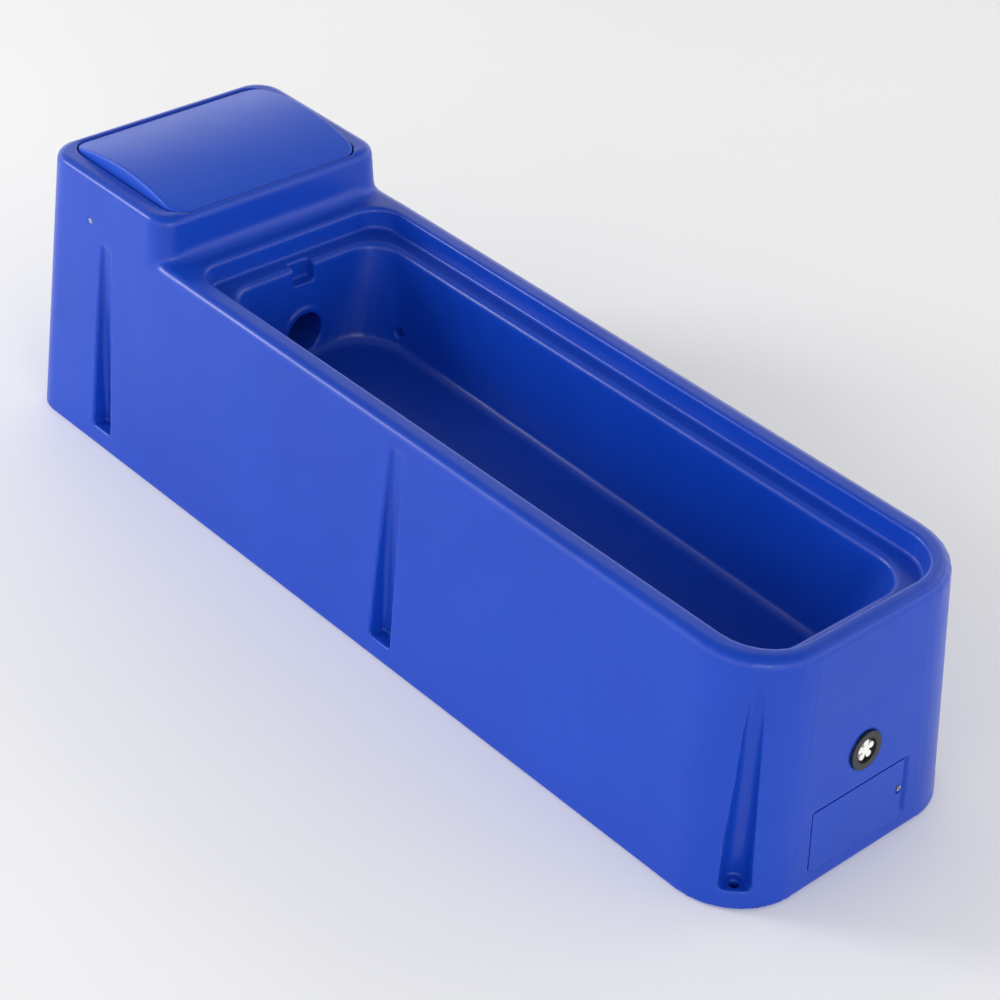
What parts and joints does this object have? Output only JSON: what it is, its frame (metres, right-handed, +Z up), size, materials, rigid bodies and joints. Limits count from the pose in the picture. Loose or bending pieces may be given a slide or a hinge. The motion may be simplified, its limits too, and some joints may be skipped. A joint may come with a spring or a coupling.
{
  "type": "livestock water trough",
  "caption": "Long double-skinned drinking trough with a lidded float-valve box at one end and a plugged drain outlet at the other.",
  "frame": {"origin": "middle of the footprint, on the floor", "axes": "+X along the trough towards the drain end, the service box at -X, +Z up, the water inlet on the +Y side"},
  "size_m": [1.4995, 0.4556, 0.454],
  "materials": {
    "blue_polyethylene": "satin rotomoulded polyethylene",
    "lid_polyethylene": "slightly duller moulded polyethylene",
    "cover_polyethylene": "satin moulded polyethylene",
    "black_nylon": "moulded black nylon",
    "pale_nylon": "moulded natural nylon",
    "float_plastic": "blow-moulded plastic",
    "rubber_seal": "moulded rubber",
    "valve_brass": "turned and cast brass",
    "steel_fastener": "bright zinc-plated steel"
  },
  "bodies": {
    "trough": {"tank_body": "blue_polyethylene", "lid_screw_left": "steel_fastener", "lid_nut_left": "steel_fastener", "lid_screw_right": "steel_fastener", "lid_nut_right": "steel_fastener", "drain_outer_washer": "rubber_seal", "drain_bush": "black_nylon", "drain_inner_washer": "rubber_seal", "drain_back_nut": "black_nylon", "inlet_outer_washer": "rubber_seal", "inlet_outer_nut": "valve_brass", "inlet_inner_washer": "rubber_seal", "inlet_inner_nut": "valve_brass", "valve_body": "valve_brass", "valve_seat": "pale_nylon", "lever_pin": "steel_fastener"},
    "lid": {"service_lid": "lid_polyethylene"},
    "bung": {"drain_bung": "pale_nylon", "bung_o_ring": "rubber_seal"},
    "cover": {"access_cover": "cover_polyethylene", "access_cover_screw": "steel_fastener"},
    "float": {"float_arm": "valve_brass", "float_ball": "float_plastic", "float_nut": "valve_brass"},
    "piston": {"valve_piston": "valve_brass", "piston_washer": "rubber_seal"}
  },
  "joints": [
    {"name": "lid_lift", "type": "slide", "parent": "trough", "child": "lid", "axis": [0, 0, 1], "range_m": [0, 0.2]},
    {"name": "bung_pull", "type": "slide", "parent": "trough", "child": "bung", "axis": [0.996, 0, 0.0896], "range_m": [0, 0.07]},
    {"name": "cover_pull", "type": "slide", "parent": "trough", "child": "cover", "axis": [0.996, 0, 0.0896], "range_m": [0, 0.08]},
    {"name": "float_swing", "type": "hinge", "parent": "trough", "child": "float", "pos_m": [-0.533, 0.104, 0.319], "axis": [-1, 0, 0], "range_deg": [0, 25]},
    {"name": "piston_slide", "type": "slide", "parent": "trough", "child": "piston", "axis": [0, 1, 0], "range_m": [0, 0.0065]}
  ],
  "couplings": [
    {"joint": "piston_slide", "follows": "float_swing", "m_per_rad": 0.01489}
  ]
}
